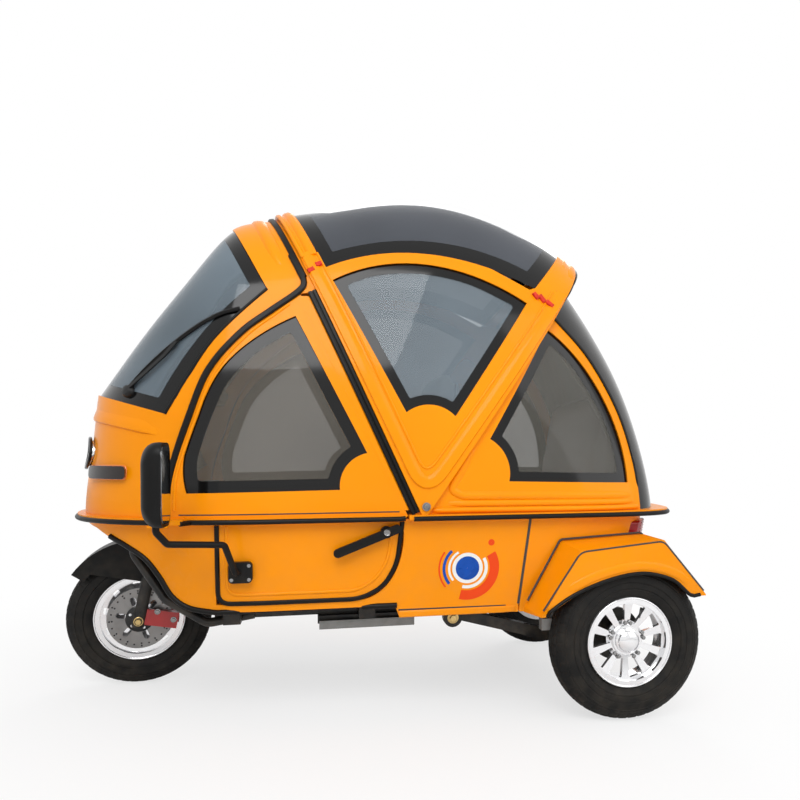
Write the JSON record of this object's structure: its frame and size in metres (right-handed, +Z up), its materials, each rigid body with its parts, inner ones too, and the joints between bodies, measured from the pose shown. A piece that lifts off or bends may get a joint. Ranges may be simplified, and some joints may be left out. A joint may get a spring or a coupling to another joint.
{
  "type": "enclosed electric tricycle",
  "caption": "Enclosed electric tricycle: glazed dome cabin on a tub body with hinged side doors, a steered front wheel and two rear wheels under flared fenders.",
  "frame": {"origin": "middle of the footprint on the ground, under the cabin", "axes": "+X forward, +Y to the vehicle's left, +Z up"},
  "size_m": [2.011, 1.4372, 1.6911],
  "materials": {
    "body_yellow": "glossy painted glass fibre",
    "gloss_black": "gloss",
    "black_plastic": "fine grain",
    "frame_black": "semi gloss",
    "floor_grey": "matt",
    "tinted_glass": "clear tint",
    "roof_glass": "dark tint",
    "clear_lens": "clear",
    "amber_lens": "smoked lens",
    "red_lens": "gloss lens",
    "seat_cover": "satin",
    "caliper_red": "gloss",
    "polished_alloy": "polished",
    "disc_steel": "ground",
    "tyre": "matt rubber"
  },
  "bodies": {
    "body": {"chassis_frame": "frame_black", "floor_pan": "floor_grey", "battery_pack": "black_plastic", "rear_axle": "frame_black", "front_loop": "frame_black", "front_fairing": "body_yellow", "side_panels": "body_yellow", "rear_body": "body_yellow", "rear_fenders": "body_yellow", "belt_flange": "body_yellow", "nose_cowl": "body_yellow", "windshield_glass": "tinted_glass", "front_arch": "body_yellow", "canopy_sides": "body_yellow", "roof_hoops": "body_yellow", "roof_glass": "roof_glass", "upper_side_glass": "tinted_glass", "quarter_panels": "body_yellow", "quarter_glass": "tinted_glass", "rear_cover": "gloss_black", "headlamps": "clear_lens", "turn_signals": "amber_lens", "tail_lamps": "red_lens", "driver_seat": "seat_cover", "rear_bench": "seat_cover", "dash": "black_plastic"},
    "left_door": {"left_door_panel": "body_yellow", "left_door_glass": "tinted_glass", "left_door_handle": "black_plastic", "left_mirror": "gloss_black"},
    "right_door": {"right_door_panel": "body_yellow", "right_door_glass": "tinted_glass", "right_door_handle": "black_plastic", "right_mirror": "gloss_black"},
    "steering": {"front_fork": "frame_black", "handlebar": "frame_black", "front_fender": "gloss_black", "brake_caliper": "caliper_red"},
    "front_wheel": {"front_rim": "polished_alloy", "front_tyre": "tyre", "front_brake_disc": "disc_steel"},
    "rear_wheel_left": {"rear_tyre_left": "tyre", "rear_rim_left": "polished_alloy"},
    "rear_wheel_right": {"rear_tyre_right": "tyre", "rear_rim_right": "polished_alloy"}
  },
  "joints": [
    {"name": "steering_turn", "type": "hinge", "parent": "body", "child": "steering", "pos_m": [0.7846, 0, 0.225], "axis": [-0.1564, 0, 0.9877], "range_deg": [-42.5, 27.5]},
    {"name": "front_wheel_spin", "type": "hinge", "parent": "steering", "child": "front_wheel", "pos_m": [0.7846, 0, 0.225], "axis": [-0.1289, 0.9914, -0.0204], "continuous": true},
    {"name": "rear_wheel_left_spin", "type": "hinge", "parent": "body", "child": "rear_wheel_left", "pos_m": [-0.754, 0.477, 0.249], "axis": [0, 1, 0], "continuous": true},
    {"name": "rear_wheel_right_spin", "type": "hinge", "parent": "body", "child": "rear_wheel_right", "pos_m": [-0.754, -0.477, 0.249], "axis": [0, 1, 0], "continuous": true},
    {"name": "left_door_hinge", "type": "hinge", "parent": "body", "child": "left_door", "pos_m": [0.62851, 0.5, 0.58583], "axis": [-0.0475, 0, -0.9989], "range_deg": [0, 60]},
    {"name": "right_door_hinge", "type": "hinge", "parent": "body", "child": "right_door", "pos_m": [0.62851, -0.5, 0.58583], "axis": [0.0475, 0, 0.9989], "range_deg": [0, 60]}
  ]
}
